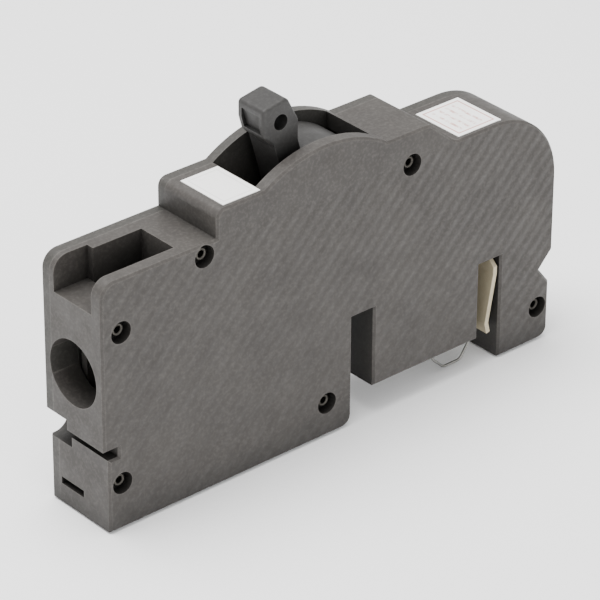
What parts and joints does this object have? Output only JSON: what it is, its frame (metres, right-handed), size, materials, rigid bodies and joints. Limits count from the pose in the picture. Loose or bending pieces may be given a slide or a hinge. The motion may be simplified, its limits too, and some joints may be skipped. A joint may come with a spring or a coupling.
{
  "type": "circuit breaker",
  "caption": "Plug-in circuit breaker with a toggle handle, a clamp terminal for one wire at one end and a sprung bus jaw near the other.",
  "frame": {"origin": "middle of the bottom face, half-way along and across the case", "axes": "+X from the wire terminal to the bus jaw, +Y from the tray to its cover, +Z from the mounting side up to the handle"},
  "size_m": [0.123, 0.019, 0.0787],
  "materials": {
    "case_moulding": "moulded phenolic, satin, fine texture",
    "handle_moulding": "moulded phenolic, near black, satin",
    "label_stock": "plain coated paper",
    "rivet_steel": "plated, dull",
    "pin_steel": "ground",
    "spring_steel": "drawn wire",
    "soft_iron": "zinc plated",
    "bimetal": "rolled",
    "contact_silver": "silver alloy",
    "copper_strap": "rolled copper",
    "tinned_copper": "tinned, dull",
    "lug_plating": "tin-plated aluminium",
    "fibre_card": "vulcanised fibre"
  },
  "bodies": {
    "case": {"front_shell": "case_moulding", "rear_cover": "case_moulding", "case_rivets": "rivet_steel", "rating_label": "label_stock", "notice_label": "label_stock", "handle_pin": "pin_steel", "stationary_contact": "contact_silver", "line_strap": "copper_strap", "bus_jaw": "tinned_copper", "jaw_spring": "spring_steel", "terminal_lug": "lug_plating", "load_strap": "copper_strap", "bimetal_strip": "bimetal", "calibration_screw": "rivet_steel", "magnet_yoke": "soft_iron", "armature_pin": "pin_steel", "cradle_pin": "pin_steel", "flexible_braid": "copper_strap", "arc_plates": "soft_iron", "arc_liner": "fibre_card"},
    "handle": {"handle": "handle_moulding", "arm_pin": "pin_steel"},
    "contact_arm": {"contact_arm": "copper_strap", "moving_contact": "contact_silver", "toggle_spring": "spring_steel"},
    "cradle": {"cradle": "soft_iron"},
    "armature": {"armature": "soft_iron"},
    "clamp_pad": {"clamp_pad": "rivet_steel"},
    "clamp_screw": {"clamp_screw": "rivet_steel"}
  },
  "joints": [
    {"name": "handle_pivot", "type": "hinge", "parent": "case", "child": "handle", "pos_m": [-0.0034, 0, 0.047], "axis": [0, 1, 0], "range_deg": [0, 32], "deforming": ["toggle_spring", "flexible_braid"]},
    {"name": "contact_arm_pivot", "type": "hinge", "parent": "handle", "child": "contact_arm", "pos_m": [-0.00175, 0, 0.04123], "axis": [0, 1, 0], "range_deg": [-10, 0], "deforming": ["toggle_spring", "flexible_braid"]},
    {"name": "cradle_pivot", "type": "hinge", "parent": "case", "child": "cradle", "pos_m": [0.019, 0, 0.047], "axis": [0, 1, 0], "range_deg": [-16, 0], "deforming": ["toggle_spring"]},
    {"name": "armature_pivot", "type": "hinge", "parent": "case", "child": "armature", "pos_m": [-0.0187, 0, 0.012], "axis": [0, 1, 0], "range_deg": [-4, 0], "stiffness_Nm_per_rad": 0.02, "springref_deg": 5.73},
    {"name": "clamp_travel", "type": "slide", "parent": "case", "child": "clamp_pad", "axis": [0, 0, -1], "range_m": [0, 0.006]},
    {"name": "clamp_screw_turn", "type": "hinge", "parent": "clamp_pad", "child": "clamp_screw", "pos_m": [-0.048, 0, 0.043], "axis": [0, 0, -1], "range_deg": [0, 1728]}
  ],
  "couplings": [
    {"joint": "contact_arm_pivot", "follows": "handle_pivot", "ratio": -0.3125},
    {"joint": "clamp_screw_turn", "follows": "clamp_travel", "rad_per_m": 5026.5}
  ]
}
